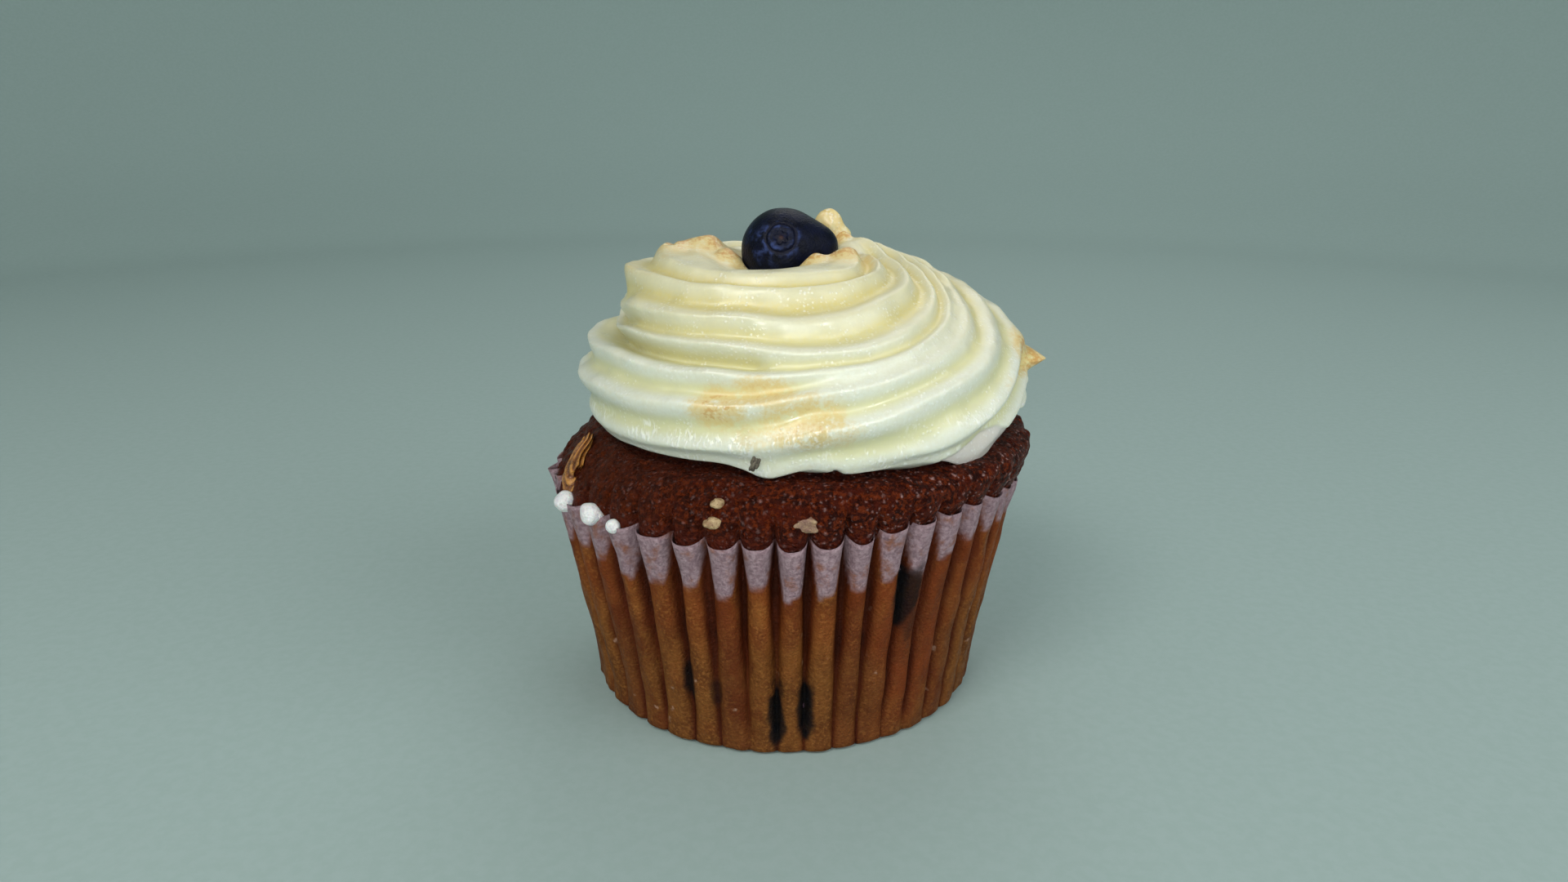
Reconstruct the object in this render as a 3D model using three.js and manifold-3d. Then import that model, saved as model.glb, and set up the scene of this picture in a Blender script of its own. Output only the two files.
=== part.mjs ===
// A blueberry cupcake, in millimetres, +Z up, with the origin at the centre of the foot it stands on.
// A fluted paper case holds one baked cake; blueberries and nut pieces are baked into the cake, a piped swirl
// of cream cheese frosting sits on its crown, and one fresh blueberry sits in the hollow at the swirl's top.
import * as THREE from "three";
import { mergeVertices } from "three/addons/utils/BufferGeometryUtils.js";
import Module from "manifold-3d";

const wasm = await Module();
wasm.setup();

// ---- Driving dimensions ----
const GAP = 0.3; // left between pieces that touch

const PAPER = 0.3; // thickness of the case's wall and base
const FLUTES = 42;
const FLUTE_STEPS = 4; // facets round each flute
const FOOT_RADIUS = 25.4; // over the flutes' crests
const FOOT_ROUND = 0.8; // the foot's edge turns in this far
const RIM_RADIUS = 30.4; // over the flutes' crests
const RIM_HEIGHT = 28.6;
const FLUTE_DEPTH_FOOT = 1.2;
const FLUTE_DEPTH_RIM = 2.2;
const RIM_LIFT = 1.6; // the rising cake pushed the rim up on one side
const RIM_LIFT_AT = degrees(312);
const RIM_LIFT_SPREAD = degrees(28);

const CROWN_EDGE = 35.6; // height of the cake's shoulder, where the frosting starts
const CROWN_RISE = 4.0; // further rise of the crown to its middle

const SWIRL_STEPS = 68; // facets round the frosting
const SWIRL_ROWS = 48; // facets from its lower edge to the middle of its hollow
const SWIRL_OFFSET = 3.0; // the swirl was started off centre, towards +X
const COIL_RIDGES = 4; // ridges that the nozzle leaves on one turn of the rope
const RIDGE_HEIGHT = 0.55;
const RIDGE_SPACING = 3.25;
const FIRST_RIDGE = 2.2; // distance of the lowest ridge from the lower edge
const SEAM_DEPTH = 0.9; // groove where one turn lies on the turn below
const CLIMB_FROM = degrees(268); // the rope steps up a turn mostly on the +X side
const CLIMB_LENGTH = degrees(105);
const CLIMB_REST = degrees(170); // and the rest of the turn round the back
const CLIMB_SHARE = 0.82;

const BERRY = { at: [0.6, 0, 55.9], radii: [6.2, 5.3, 5.4] };

function degrees(angle) {
  return (angle * Math.PI) / 180;
}

function smoothstep(x) {
  return THREE.MathUtils.smoothstep(x, 0, 1);
}

// Smallest difference between two angles, signed.
function turn(angle, from) {
  return THREE.MathUtils.euclideanModulo(angle - from + Math.PI, 2 * Math.PI) - Math.PI;
}

// A bell curve of height 1 over angle, centred on an angle.
function bell(angle, centre, spread) {
  return Math.exp(-((turn(angle, centre) / spread) ** 2));
}

// ---- Mesh helpers ----

// Revolves rows of vertices, from the bottom of the axis to the top of it: place(row, angle) gives a point.
// The steps run clockwise, so that the faces' diagonals run up a rising ridge, and the index is reversed
// to match.
function revolved(rows, steps, place) {
  const profile = Array.from({ length: rows }, (_, row) => new THREE.Vector2(1, row));
  const geometry = new THREE.LatheGeometry(profile, steps);
  const positions = geometry.attributes.position;
  for (let step = 0; step <= steps; step++) {
    const angle = ((steps - step) % steps) * ((2 * Math.PI) / steps);
    for (let row = 0; row < rows; row++) {
      positions.setXYZ(step * rows + row, ...place(row, angle));
    }
  }
  geometry.setIndex(Array.from(geometry.index.array).reverse());
  return welded(geometry);
}

// A point from its radius, angle and height.
function polar(radius, angle, height) {
  return [radius * Math.cos(angle), radius * Math.sin(angle), height];
}

// Merges shared vertices and drops the faces that collapse where a row meets the axis.
function welded(geometry) {
  geometry.deleteAttribute("normal");
  geometry.deleteAttribute("uv");
  const merged = mergeVertices(geometry, 1e-4);
  const kept = [];
  for (let i = 0; i < merged.index.count; i += 3) {
    const [a, b, c] = [0, 1, 2].map((k) => merged.index.getX(i + k));
    if (a !== b && b !== c && a !== c) kept.push(a, b, c);
  }
  merged.setIndex(kept);
  return merged;
}

function solid(geometry) {
  return new wasm.Manifold(
    new wasm.Mesh({
      numProp: 3,
      vertProperties: new Float32Array(geometry.attributes.position.array),
      triVerts: new Uint32Array(geometry.index.array),
    }),
  );
}

function geometryOf(body) {
  const { vertProperties, triVerts } = body.getMesh();
  const geometry = new THREE.BufferGeometry();
  geometry.setAttribute("position", new THREE.BufferAttribute(vertProperties, 3));
  geometry.setIndex(new THREE.BufferAttribute(triVerts, 1));
  return geometry;
}

// An ellipsoid leant over about Y, then turned about Z, each radius grown by the same amount.
function ellipsoid({ at, radii, turned = 0, lean = 0 }, grown = 0, detail = 12) {
  const geometry = new THREE.SphereGeometry(1, detail, detail / 2);
  geometry.scale(...radii.map((radius) => radius + grown));
  geometry.rotateY(-lean);
  geometry.rotateZ(turned);
  geometry.translate(...at);
  return welded(geometry);
}

// ---- Paper case ----

// 0 on the crest of a flute and 1 in the crease between two flutes.
function crease(angle) {
  return 1 - Math.abs(Math.sin((angle * FLUTES) / 2)) ** 0.8;
}

function rimHeight(angle) {
  return RIM_HEIGHT + RIM_LIFT * bell(angle, RIM_LIFT_AT, RIM_LIFT_SPREAD);
}

// Outer radius of the case at a share of the way up from foot to rim.
function caseRadius(angle, share) {
  const crest = THREE.MathUtils.lerp(FOOT_RADIUS, RIM_RADIUS, share);
  return crest - THREE.MathUtils.lerp(FLUTE_DEPTH_FOOT, FLUTE_DEPTH_RIM, share) * crease(angle);
}

// The case's wall, its two faces set inwards of its outer radius by outside and inside.
function caseGeometry(outside = 0, inside = PAPER, lift = 0) {
  const rows = [
    (angle) => polar(0, angle, -lift),
    (angle) => polar(caseRadius(angle, 0) - FOOT_ROUND - outside, angle, -lift),
    (angle) => polar(caseRadius(angle, 0.03) - outside, angle, 0.03 * rimHeight(angle)),
    (angle) => polar(caseRadius(angle, 0.5) - outside, angle, 0.5 * rimHeight(angle)),
    (angle) => polar(caseRadius(angle, 1) - outside, angle, rimHeight(angle) + lift),
    (angle) => polar(caseRadius(angle, 1) - inside, angle, rimHeight(angle) + lift),
    (angle) => polar(caseRadius(angle, 0.5) - inside, angle, 0.5 * rimHeight(angle)),
    (angle) => polar(caseRadius(angle, 0.03) - inside, angle, 0.03 * rimHeight(angle)),
    (angle) => polar(caseRadius(angle, 0) - FOOT_ROUND - inside, angle, PAPER + lift),
    (angle) => polar(0, angle, PAPER + lift),
  ];
  return revolved(rows.length, FLUTES * FLUTE_STEPS, (row, angle) => rows[row](angle));
}

// ---- Cake ----

// The crown leans: low and drawn in towards -X, high and bulging over the rim towards +X.
const CROWN_ROWS = [
  { share: 0.05, radius: RIM_RADIUS - PAPER - GAP, lean: 0, fluting: 1 },
  { share: 0.22, radius: 30.1, lean: 0.95, fluting: 0.5 },
  { share: 0.5, radius: 29.6, lean: 2.1, fluting: 0.15 },
  { share: 0.78, radius: 28.5, lean: 2.9, fluting: 0 },
  { share: 1, radius: 26.9, lean: 3.05, fluting: 0 },
];

function crownRadius(row, angle) {
  const side = Math.cos(angle);
  return row.radius + row.lean * (side - 0.12 * side ** 2) - FLUTE_DEPTH_RIM * row.fluting * crease(angle);
}

// Height of the crown under the frosting, at a share of the way out to its shoulder.
function crownHeight(share) {
  return CROWN_EDGE + CROWN_RISE * (1 - share ** 2);
}

function cakeGeometry() {
  const inset = PAPER + GAP;
  const shoulder = CROWN_ROWS.at(-1);
  const top = [0.72, 0.4, 0];
  const rows = [
    (angle) => polar(0, angle, inset),
    (angle) => polar(caseRadius(angle, 0) - FOOT_ROUND - inset, angle, inset),
    (angle) => polar(caseRadius(angle, 0.05) - inset, angle, 0.05 * rimHeight(angle)),
    (angle) => polar(caseRadius(angle, 0.5) - inset, angle, 0.5 * rimHeight(angle)),
    ...CROWN_ROWS.map((row) => (angle) => {
      const height = THREE.MathUtils.lerp(rimHeight(angle), CROWN_EDGE, row.share);
      return polar(crownRadius(row, angle), angle, height);
    }),
    ...top.map((share) => (angle) => polar(crownRadius(shoulder, angle) * share, angle, crownHeight(share))),
  ];
  return revolved(rows.length, FLUTES * FLUTE_STEPS, (row, angle) => rows[row](angle));
}

// Blueberries that burst against the wall of the case while the cake baked.
const BAKED_BERRIES = {
  baked_blueberry_right: { angle: 299, radius: 24.6, height: 21.5, radii: [3.6, 2.6, 4.6] },
  baked_blueberry_front: { angle: 273, radius: 22.4, height: 6.6, radii: [3.4, 3.3, 3.6] },
  baked_blueberry_left: { angle: 246, radius: 23.0, height: 9.6, radii: [3.2, 2.8, 3.0] },
  baked_blueberry_back_left: { angle: 138, radius: 24.2, height: 17.0, radii: [3.6, 3.2, 4.0] },
  baked_blueberry_back_right: { angle: 42, radius: 23.3, height: 11.0, radii: [3.5, 3.4, 3.8] },
};

// Pale nut pieces that show in the crust of the crown.
const NUT_PIECES = {
  nut_piece_upper: { angle: 255.5, radius: 29.0, height: 32.8, radii: [0.7, 0.7, 0.5] },
  nut_piece_lower: { angle: 255.0, radius: 29.9, height: 30.9, radii: [0.8, 1.0, 0.6] },
  nut_piece_rim: { angle: 274.5, radius: 29.9, height: 31.0, radii: [0.8, 1.7, 0.9] },
  nut_piece_left: { angle: 207, radius: 27.6, height: 31.9, radii: [1.0, 1.4, 2.8], lean: degrees(42) },
};

function placed({ angle, radius, height, radii, lean }) {
  return { at: polar(radius, degrees(angle), height), radii, turned: degrees(angle), lean };
}

// ---- Frosting ----

// The swirl's mean outline as radius and height, from its lower edge to the lip round the hollow.
const OUTLINE = new THREE.SplineCurve(
  [
    [27.2, 36.1],
    [28.2, 38.5],
    [28.6, 41.5],
    [27.6, 44.8],
    [25.2, 48.3],
    [22.4, 51.2],
    [18.8, 53.6],
    [15.6, 54.9],
    [11.5, 55.3],
    [7.2, 54.9],
    [3.6, 54.7],
    [0, 54.6],
  ].map(([radius, height]) => new THREE.Vector2(radius, height)),
);
const OUTLINE_LENGTH = OUTLINE.getLength();

// Turns of the rope behind an angle: rises from 0 to 1 once round, mostly on the +X side.
function climb(angle) {
  const past = THREE.MathUtils.euclideanModulo(angle - CLIMB_FROM, 2 * Math.PI);
  const right = past / CLIMB_LENGTH;
  const back = (past - CLIMB_LENGTH) / CLIMB_REST;
  return CLIMB_SHARE * smoothstep(right) + (1 - CLIMB_SHARE) * smoothstep(back);
}

// Ridge number at a distance along the outline: a whole number on each crest, before the rope's climb.
function ridgeNumber(distance) {
  return (distance - FIRST_RIDGE) / RIDGE_SPACING + 0.5 * Math.exp(-(((distance - 15) / 3.5) ** 2));
}

// Height of the ridges and seam above the mean outline.
function ridges(distance, angle) {
  const number = ridgeNumber(distance) - COIL_RIDGES * climb(angle);
  const crest = RIDGE_HEIGHT * Math.cos(2 * Math.PI * number);
  const seam = THREE.MathUtils.euclideanModulo(number - 3.5 + 2, COIL_RIDGES) - 2;
  const groove = SEAM_DEPTH * Math.exp(-((seam / 0.28) ** 2));
  const fade = smoothstep(distance / 2) * smoothstep((OUTLINE_LENGTH - distance - 6) / 6);
  return (crest - groove) * fade;
}

// Tails and lumps of cream: where each stands, how high and how wide.
const PEAKS = [
  { angle: 348, height: 43.6, reach: 1.9, spread: 1.5 }, // drawn out sideways from the +X flank
];
const LUMPS = [
  { at: [6.6, 5.4], rise: 5.6, spread: 1.7 }, // tail of the rope, behind the berry
  { at: [-8.4, 3.5], rise: 2.0, spread: 2.6 },
  { at: [-13.5, 1.0], rise: 0.8, spread: 2.2 },
  { at: [9.0, 2.0], rise: 2.4, spread: 4.2 },
];

// Where the flank stands back: a step above the lower turn towards -X, and a waist low on the +X side.
const STEP = { angle: degrees(186), spread: 0.6, from: 11.3, full: 12.9, fades: 16.3, to: 19.5, depth: 1.9 };
const WAIST = { angle: degrees(2), spread: 0.6, at: 5.5, height: 5, depth: 1.6 };

function setBack(distance, angle) {
  const rising = smoothstep((distance - STEP.from) / (STEP.full - STEP.from));
  const falling = smoothstep((STEP.to - distance) / (STEP.to - STEP.fades));
  const step = STEP.depth * rising * falling * bell(angle, STEP.angle, STEP.spread);
  const waist = WAIST.depth * Math.exp(-(((distance - WAIST.at) / WAIST.height) ** 2));
  return step + waist * bell(angle, WAIST.angle, WAIST.spread);
}

// Lower half of the berry's skin, grown by the gap, as a height over the plan.
function nestHeight(x, y) {
  const [a, b, c] = BERRY.radii.map((radius) => radius + GAP);
  const inside = 1 - ((x - BERRY.at[0]) / a) ** 2 - ((y - BERRY.at[1]) / b) ** 2;
  return inside > 0 ? BERRY.at[2] - c * Math.sqrt(inside) : Infinity;
}

function swirlPoint(distance, angle) {
  const share = distance / OUTLINE_LENGTH;
  const point = OUTLINE.getPointAt(share);
  const along = OUTLINE.getTangentAt(share);
  const out = ridges(distance, angle) - setBack(distance, angle);
  let radius = point.x + along.y * out;
  let height = point.y - along.x * out;
  for (const { angle: at, height: level, reach, spread } of PEAKS) {
    const off = Math.hypot(turn(angle, degrees(at)) * radius, height - level);
    radius += reach * Math.max(0, 1 - off / (2 * spread)) ** 1.5;
  }
  const offset = SWIRL_OFFSET * smoothstep((55 - height) / 10);
  const x = offset + radius * Math.cos(angle);
  const y = radius * Math.sin(angle);
  for (const { at, rise, spread } of LUMPS) {
    const off = Math.hypot(x - at[0], y - at[1]);
    if (distance > OUTLINE_LENGTH / 2) height += rise * Math.exp(-((off / spread) ** 2));
  }
  return [x, y, Math.min(height, nestHeight(x, y))];
}

// Underside of the frosting, resting on the crown, at a share of the way out to the lower edge.
function undersidePoint(share, angle) {
  const [x, y] = swirlPoint(0, angle);
  const shoulder = crownRadius(CROWN_ROWS.at(-1), angle);
  const out = Math.hypot(x, y) * share;
  const height = crownHeight(Math.min(1, out / shoulder)) + GAP;
  return polar(out, Math.atan2(y, x), height);
}

function frostingGeometry() {
  const underside = [0, 0.4, 0.72, 0.95];
  return revolved(underside.length + SWIRL_ROWS, SWIRL_STEPS, (row, angle) => {
    if (row < underside.length) return undersidePoint(underside[row], angle);
    const share = (row - underside.length) / (SWIRL_ROWS - 1);
    return swirlPoint(share * OUTLINE_LENGTH, angle);
  });
}

// ---- Small trim ----

// Beads of icing that dripped on the rim of the case and set round its edge.
const ICING_BEADS = {
  icing_bead_left: { angle: 210, radius: 30.2, height: 28.6, size: 1.35 },
  icing_bead_middle: { angle: 221.5, radius: 30.2, height: 28.7, size: 1.35 },
  icing_bead_right: { angle: 230, radius: 30.3, height: 28.7, size: 0.85 },
};

// The berry is an ellipsoid with a shallow round eye pressed into it.
const EYE = { tilt: degrees(25), turned: degrees(-5), radius: 2.1, depth: 0.7 };

function blueberryBody() {
  const [, depth] = BERRY.radii;
  const axis = new THREE.Vector3(
    Math.sin(EYE.turned) * Math.cos(EYE.tilt),
    -Math.cos(EYE.turned) * Math.cos(EYE.tilt),
    Math.sin(EYE.tilt),
  );
  const middle = new THREE.Vector3(...BERRY.at).addScaledVector(axis, depth + EYE.radius - EYE.depth);
  const eye = { at: middle.toArray(), radii: [EYE.radius, EYE.radius, EYE.radius] };
  return solid(ellipsoid(BERRY, 0, 24)).subtract(solid(ellipsoid(eye)));
}

// ---- The cupcake ----

const paperFinish = new THREE.MeshStandardMaterial({ color: 0x8a5a2c, roughness: 0.75, metalness: 0 });
const cakeFinish = new THREE.MeshStandardMaterial({ color: 0x4a2114, roughness: 0.6, metalness: 0 });
const frostingFinish = new THREE.MeshStandardMaterial({ color: 0xe9e6bf, roughness: 0.4, metalness: 0 });
const berryFinish = new THREE.MeshStandardMaterial({ color: 0x131a36, roughness: 0.5, metalness: 0 });
const nutFinish = new THREE.MeshStandardMaterial({ color: 0xb39a6e, roughness: 0.6, metalness: 0 });
const icingFinish = new THREE.MeshStandardMaterial({ color: 0xf2f1ee, roughness: 0.45, metalness: 0 });

const cupcake = new THREE.Group();

function add(name, geometry, finish) {
  const mesh = new THREE.Mesh(geometry, finish);
  mesh.name = name;
  cupcake.add(mesh);
}

add("paper_case", caseGeometry(), paperFinish);

const wholeCake = solid(cakeGeometry());
let cake = wholeCake;
for (const [name, spot] of Object.entries(BAKED_BERRIES)) {
  const berry = placed(spot);
  add(name, geometryOf(solid(ellipsoid(berry)).intersect(wholeCake)), berryFinish);
  cake = cake.subtract(solid(ellipsoid(berry, GAP)));
}
for (const [name, spot] of Object.entries(NUT_PIECES)) {
  const nut = placed(spot);
  add(name, ellipsoid(nut), nutFinish);
  cake = cake.subtract(solid(ellipsoid(nut, GAP)));
}
add("cake", geometryOf(cake), cakeFinish);
add("frosting_swirl", frostingGeometry(), frostingFinish);
add("blueberry", geometryOf(blueberryBody()), berryFinish);

const caseAndClearance = solid(caseGeometry(-GAP, PAPER + GAP, GAP));
for (const [name, { angle, radius, height, size }] of Object.entries(ICING_BEADS)) {
  const bead = ellipsoid({ at: polar(radius, degrees(angle), height), radii: [size, size, size] });
  add(name, geometryOf(solid(bead).subtract(caseAndClearance).subtract(cake)), icingFinish);
}

export default cupcake;
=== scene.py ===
"""A blueberry cupcake: a fluted paper case, the cake baked in it, a piped swirl of cream cheese frosting and
a fresh blueberry in the hollow on top. Lengths are in metres, angles in radians, anticlockwise from +X."""

import bpy
import numpy as np
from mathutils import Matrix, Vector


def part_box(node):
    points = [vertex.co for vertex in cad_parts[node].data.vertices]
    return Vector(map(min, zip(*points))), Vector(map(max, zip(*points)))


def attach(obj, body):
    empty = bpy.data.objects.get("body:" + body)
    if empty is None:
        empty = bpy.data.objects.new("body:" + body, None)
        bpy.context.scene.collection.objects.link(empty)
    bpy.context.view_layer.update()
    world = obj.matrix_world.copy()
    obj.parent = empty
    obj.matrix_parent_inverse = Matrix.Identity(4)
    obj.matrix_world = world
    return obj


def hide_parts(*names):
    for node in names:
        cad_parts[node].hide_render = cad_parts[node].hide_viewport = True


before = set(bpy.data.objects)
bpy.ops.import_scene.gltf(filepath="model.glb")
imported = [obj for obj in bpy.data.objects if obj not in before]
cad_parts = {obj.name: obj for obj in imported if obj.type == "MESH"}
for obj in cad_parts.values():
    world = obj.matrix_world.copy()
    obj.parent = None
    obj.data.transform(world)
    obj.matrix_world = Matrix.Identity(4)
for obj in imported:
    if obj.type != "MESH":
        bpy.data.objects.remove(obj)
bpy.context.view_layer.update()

# ---- Paper case ----
# One round of greaseproof paper, pleated into flutes between a pair of dies. The batter has soaked it golden
# brown, except for the free edge above the batter, and burst berries stain it. The creases get painted
# shade.
MM = 0.001
TURN = 2 * np.pi
PAPER = 0.12 * MM
FOOT_RADIUS = 25.3 * MM  # over the flutes' crests
RIM_RADIUS = 30.35 * MM
RIM_HEIGHT = 28.6 * MM
RIM_LIFT = 1.6 * MM  # the rising cake pushed the rim up here
RIM_LIFT_AT = np.radians(312)
RIM_TORN_AT = np.radians(196)
SOLE_FOLD = 0.55 * MM  # how far inside the flutes' creases the flat sole is folded
FLUTES = 42
# The front crests' angles in degrees are uneven, where the case was bent. The rest follow at an even pitch.
FRONT_CRESTS = [212.8, 222.2, 230.6, 240.6, 249.0, 256.8, 264.2, 271.8]
FRONT_CRESTS += [279.2, 286.8, 294.0, 301.4, 309.2, 317.2, 326.6]
CASE_COLUMNS = 1008
CASE_ROWS = 44
STAINED_RADIUS = 27 * MM  # the case's radius at the stains' heights
# Each burst berry's stain: angle in degrees, then height, half width and half height in mm, and strength.
STAINS = [
    (299.2, 20.4, 1.7, 4.4, 1.0),
    (301.0, 17.0, 1.7, 2.4, 0.6),
    (268.2, 5.4, 1.15, 4.4, 1.0),
    (275.5, 6.4, 1.25, 4.2, 1.0),
    (245.0, 9.6, 1.1, 3.0, 0.9),
    (252.6, 8.4, 0.9, 2.2, 0.6),
    (138.0, 17.0, 1.9, 4.2, 1.0),
    (146.0, 13.0, 1.0, 3.0, 0.5),
    (42.0, 11.0, 1.8, 4.0, 1.0),
]


def swell(x):
    """Smooth step: 0 below 0, 1 above 1, and 3x² - 2x³ between."""
    x = np.clip(x, 0, 1)
    return x * x * (3 - 2 * x)


def turned(angle, centre):
    """Signed difference between two angles, between minus and plus half a turn."""
    return (angle - centre + np.pi) % TURN - np.pi


def bell(off, spread):
    """A bell curve: exp(-(off / spread)²)."""
    return np.exp(-((off / spread) ** 2))


def polar(radius, angle, height):
    """Points from radius, angle and height."""
    radius, angle, height = np.broadcast_arrays(radius, angle, height)
    return np.stack([radius * np.cos(angle), radius * np.sin(angle), height], axis=-1)


def whole_turn(columns):
    """Evenly spaced angles, once round."""
    return np.arange(columns) / columns * TURN


def lumps(points, size, seed):
    """Smooth noise from -1 to 1: random values on a cubic lattice of one size, blended by the step swell."""
    lattice = np.random.default_rng(seed).uniform(-1, 1, (32, 32, 32))
    place = points / size
    cell = np.floor(place).astype(int)
    share = swell(place - cell)
    total = 0
    for corner in np.ndindex(2, 2, 2):
        value = lattice[tuple((cell[..., axis] + corner[axis]) % 32 for axis in range(3))]
        weight = np.prod([np.abs(1 - corner[axis] - share[..., axis]) for axis in range(3)], axis=0)
        total = total + value * weight
    return total


def bands(rows, columns, first):
    """The four-sided faces between neighbouring rings of points, which are numbered on from first."""
    here = np.arange(columns)
    after = (here + 1) % columns
    low = first + columns * np.arange(rows - 1)[:, None]
    faces = np.stack([low + here, low + after, low + after + columns, low + here + columns], axis=-1)
    return faces.reshape(-1, 4).tolist()


def fan(columns, first, middle):
    """The triangles between a ring of points, numbered on from first, and one point in its middle."""
    here = np.arange(columns)
    after = (here + 1) % columns
    return np.stack([np.full_like(here, middle), first + here, first + after], axis=-1)


def smooth_object(name, points, faces):
    """A smoothly shaded object in the scene, from its points and faces."""
    mesh = bpy.data.meshes.new(name)
    mesh.from_pydata(points.tolist(), [], faces)
    mesh.shade_smooth()
    made = bpy.data.objects.new(name, mesh)
    bpy.context.scene.collection.objects.link(made)
    return made


def shell(name, rings, foot, tip, **masks):
    """A closed surface through rings of points (rows, columns, 3), closed by fans at the points foot and
    tip. Each mask has a value for each ring point and is kept as an attribute of its own name."""
    rows, columns = rings.shape[:2]
    points = np.concatenate([[foot], rings.reshape(-1, 3), [tip]])
    last = len(points) - 1
    foot_fan = fan(columns, 1, 0)[:, [0, 2, 1]].tolist()
    tip_fan = fan(columns, last - columns, last).tolist()
    piece = smooth_object(name, points, [*bands(rows, columns, 1), *foot_fan, *tip_fan])
    for mask, values in masks.items():
        values = np.broadcast_to(values, (rows, columns))
        padded = np.concatenate([[values[0].mean()], values.ravel(), [values[-1].mean()]])
        attribute = piece.data.attributes.new(mask, "FLOAT", "POINT")
        attribute.data.foreach_set("value", padded.astype(np.float32))
    return piece


def finished(piece, material, slot, *nodes):
    """Gives a piece its material, fixes it to the body and hides the nodes it replaces; slot is not used."""
    piece.data.materials.append(material)
    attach(piece, "root")
    if nodes:
        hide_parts(*nodes)


flute_random = np.random.default_rng(42)
back_crests = FLUTES - len(FRONT_CRESTS)
even_crests = np.linspace(FRONT_CRESTS[-1], FRONT_CRESTS[0] + 360, back_crests + 2)[1:-1]
crest_angles = np.radians([*FRONT_CRESTS, *even_crests])
next_crests = np.append(crest_angles[1:], crest_angles[0] + TURN)
crease_angles = (crest_angles + next_crests) / 2
flute_depths = flute_random.uniform(0.7, 1.2, FLUTES)
flute_rims = flute_random.uniform(-0.25, 0.25, FLUTES) * MM
flute_edges = flute_random.uniform(5.3, 7.3, FLUTES) * MM
flute_widths = flute_random.uniform(0.84, 1.12, FLUTES)
flute_tones = flute_random.uniform(0, 1, FLUTES)


def flute_of(angle):
    """Which flute an angle is in, and how far across it from -1 to 1, 0 on its crest."""
    start = crease_angles[-1] - TURN
    around = (angle - start) % TURN + start
    count = np.interp(around, [start, *crease_angles], np.arange(FLUTES + 1))
    flute = np.minimum(count.astype(int), FLUTES - 1)
    return flute, 2 * (count - flute) - 1


def rim_height(angle):
    """The rim's height: level, lifted in a bell round one angle, rippled round another, and a little uneven
    from flute to flute, lower on each crest than in the creases."""
    flute, across = flute_of(angle)
    uneven = (flute_rims[flute] - 0.4 * MM) * (1 - across**2) + 0.4 * MM * across**4
    lifted = RIM_LIFT * bell(turned(angle, RIM_LIFT_AT), np.radians(28))
    torn = 0.9 * MM * bell(turned(angle, RIM_TORN_AT), 0.16) * (0.6 + 0.4 * np.cos(31 * angle))
    return RIM_HEIGHT + lifted + uneven + torn


def lobe(angle, share):
    """How far out the paper is between crease, 0, and crest, 1: a rounded lobe, wide at rim and foot."""
    flute, across = flute_of(angle)
    width = np.interp(share, [0, 0.15, 0.55, 0.8, 0.95, 1], [1.1, 0.98, 0.87, 0.8, 0.98, 1.08])
    power = np.interp(share, [0.75, 1], [2.6, 3.6])
    return np.clip(1 - (np.abs(across) / (width * flute_widths[flute])) ** power, 0, 1) ** 0.7


def case_radius(angle, share):
    """The outer radius: a slightly flaring cone over the crests, less the flutes' depth between them."""
    flute, _ = flute_of(angle)
    crests = FOOT_RADIUS + (RIM_RADIUS - FOOT_RADIUS) * share**1.2
    depth = flute_depths[flute] * np.interp(share, [0, 0.15, 0.8, 1], [0.45, 0.95, 1.9, 3.0]) * MM
    flare = 0.45 * MM * bell(turned(angle, np.radians(192)), 0.2) * share**6 * np.cos(23 * angle)
    return crests + flare - depth * (1 - lobe(angle, share))


around = whole_turn(CASE_COLUMNS)
case_shares = np.concatenate([[0.015], np.linspace(0.035, 1, CASE_ROWS)])[:, None]
wall = polar(case_radius(around, case_shares), around, case_shares * rim_height(around))
crumpled = 0.2 * lumps(wall, 4 * MM, 3) + 0.07 * lumps(wall, 1.3 * MM, 4)
crumpled = crumpled + 0.12 * lumps(wall * np.array([1, 1, 0.2]), 1.2 * MM, 8)
wall = wall + crumpled[..., None] * MM * polar(1, around, 0)
fold = case_radius(around, 0) - SOLE_FOLD
sole = polar(fold * np.array([[0.5], [0.97], [1.0]]), around, np.array([[0.0], [0.0], [0.08 * MM]]))
lining = wall[::-1] - PAPER * polar(1, around, 0)
lining[0, :, 2] = wall[-1, :, 2]
floor_inside = polar(fold * np.array([[0.97], [0.5]]), around, PAPER)
case_rings = np.concatenate([sole, wall, lining, floor_inside])

ring_angle = np.arctan2(case_rings[..., 1], case_rings[..., 0])
ring_height = case_rings[..., 2]
ring_share = np.clip(ring_height / rim_height(ring_angle), 0, 1)
ring_flute, ring_across = flute_of(ring_angle)
ring_lobe = lobe(ring_angle, ring_share)
# The free edge is shorter on the +X side, where the cake rose against it.
shorter_edge = 1 - 0.36 * swell(turned(ring_angle, np.radians(303)) / 0.6)
edge_length = flute_edges[ring_flute] * shorter_edge + 0.7 * MM * lumps(case_rings, 1.3 * MM, 11)
above = ring_height - (rim_height(ring_angle) - edge_length)
edge_width = 0.52 + 0.5 * np.clip(above / edge_length, 0, 1) ** 0.8
free_edge = swell(above / (0.7 * MM)) * swell((edge_width - np.abs(ring_across)) / 0.16)
stain = np.zeros_like(ring_height)
for angle, height, half_width, half_height, strength in STAINS:
    sideways = turned(ring_angle, np.radians(angle)) * STAINED_RADIUS / (half_width * MM)
    upright = (ring_height - height * MM) / (half_height * MM)
    spread = np.hypot(sideways, upright) + 0.34 * lumps(case_rings, 1.3 * MM, 17)
    full_in_creases = 0.9 + 0.1 * swell(1.6 - 1.6 * ring_lobe)
    stain = np.maximum(stain, strength * swell(2 * (1.2 - spread)) * full_in_creases)
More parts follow.
